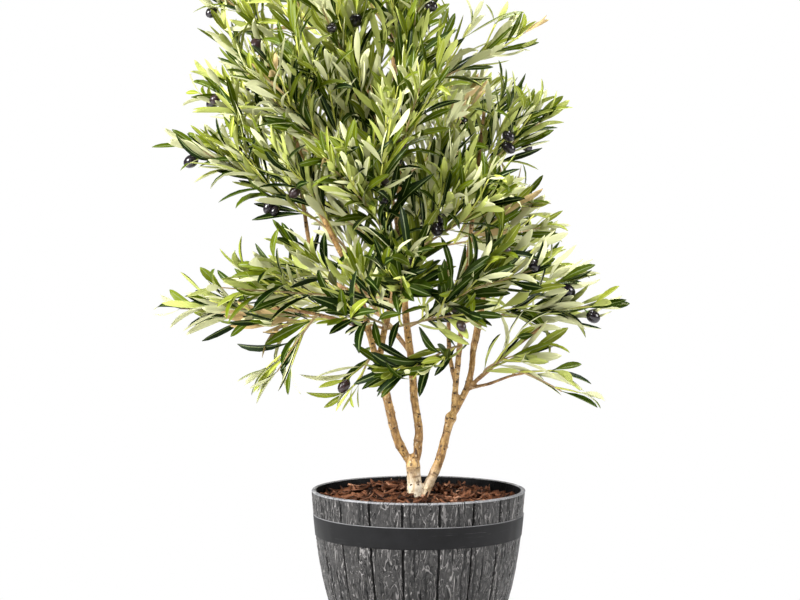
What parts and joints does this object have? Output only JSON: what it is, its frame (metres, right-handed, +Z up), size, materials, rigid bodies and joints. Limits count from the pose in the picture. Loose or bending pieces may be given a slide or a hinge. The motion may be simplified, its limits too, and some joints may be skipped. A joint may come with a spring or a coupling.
{
  "type": "artificial olive tree in a barrel planter",
  "caption": "Artificial olive tree with slim stems rising from one foot, a leaning open crown of narrow leaves and dark olives, set in bark chips in a moulded half-barrel planter.",
  "frame": {"origin": "centre of the planter's flat underside", "axes": "+Z up along the tree, +X to the tree's right as it is usually shown, +Y to its back"},
  "size_m": [0.6892, 0.532, 1.16],
  "materials": {
    "planter_resin": "matte",
    "hoop_resin": "satin",
    "ballast": "matte",
    "bark_chips": "matte",
    "olive_bark": "matte",
    "foliage": "satin",
    "leaf_dark": "satin",
    "leaf_fresh": "satin",
    "leaf_pale": "satin",
    "twig": "satin",
    "olive_fruit": "gloss"
  },
  "bodies": {
    "root": {"pot_wall": "planter_resin", "upper_hoop": "hoop_resin", "lower_hoop": "hoop_resin", "pot_fill": "ballast", "trunk": "olive_bark", "stem_left": "olive_bark", "stem_middle": "olive_bark", "stem_right": "olive_bark", "bough_left_outer": "olive_bark", "bough_left_inner": "olive_bark", "bough_right_upright": "olive_bark", "bough_right_mid": "olive_bark", "bough_right_outer": "olive_bark", "bough_right_low": "olive_bark", "bough_right_inner": "olive_bark", "bough_left_low": "olive_bark", "bough_left_back": "olive_bark", "bough_back_left": "olive_bark", "bough_back_right": "olive_bark", "bough_front": "olive_bark", "foliage_skirt_right": "foliage", "foliage_skirt_back_right": "foliage", "foliage_skirt_back_left": "foliage", "foliage_skirt_left": "foliage", "foliage_skirt_front_left": "foliage", "foliage_skirt_front_right": "foliage", "foliage_low_right": "foliage", "foliage_low_back_right": "foliage", "foliage_low_back_left": "foliage", "foliage_low_left": "foliage", "foliage_low_front_left": "foliage", "foliage_low_front_right": "foliage", "foliage_mid_right": "foliage", "foliage_mid_back_right": "foliage", "foliage_mid_back_left": "foliage", "foliage_mid_left": "foliage", "foliage_mid_front_left": "foliage", "foliage_mid_front_right": "foliage", "foliage_high_right": "foliage", "foliage_high_back_right": "foliage", "foliage_high_back_left": "foliage", "foliage_high_left": "foliage", "foliage_high_front_left": "foliage", "foliage_high_front_right": "foliage", "foliage_top_right": "foliage", "foliage_top_back_right": "foliage", "foliage_top_back_left": "foliage", "foliage_top_left": "foliage", "foliage_top_front_left": "foliage", "foliage_top_front_right": "foliage", "foliage_leader": "foliage", "foliage_left_droop": "foliage", "foliage_left_tuft": "foliage", "foliage_centre_low": "foliage", "foliage_right_tuft": "foliage", "foliage_right_droop": "foliage"}
  },
  "joints": []
}
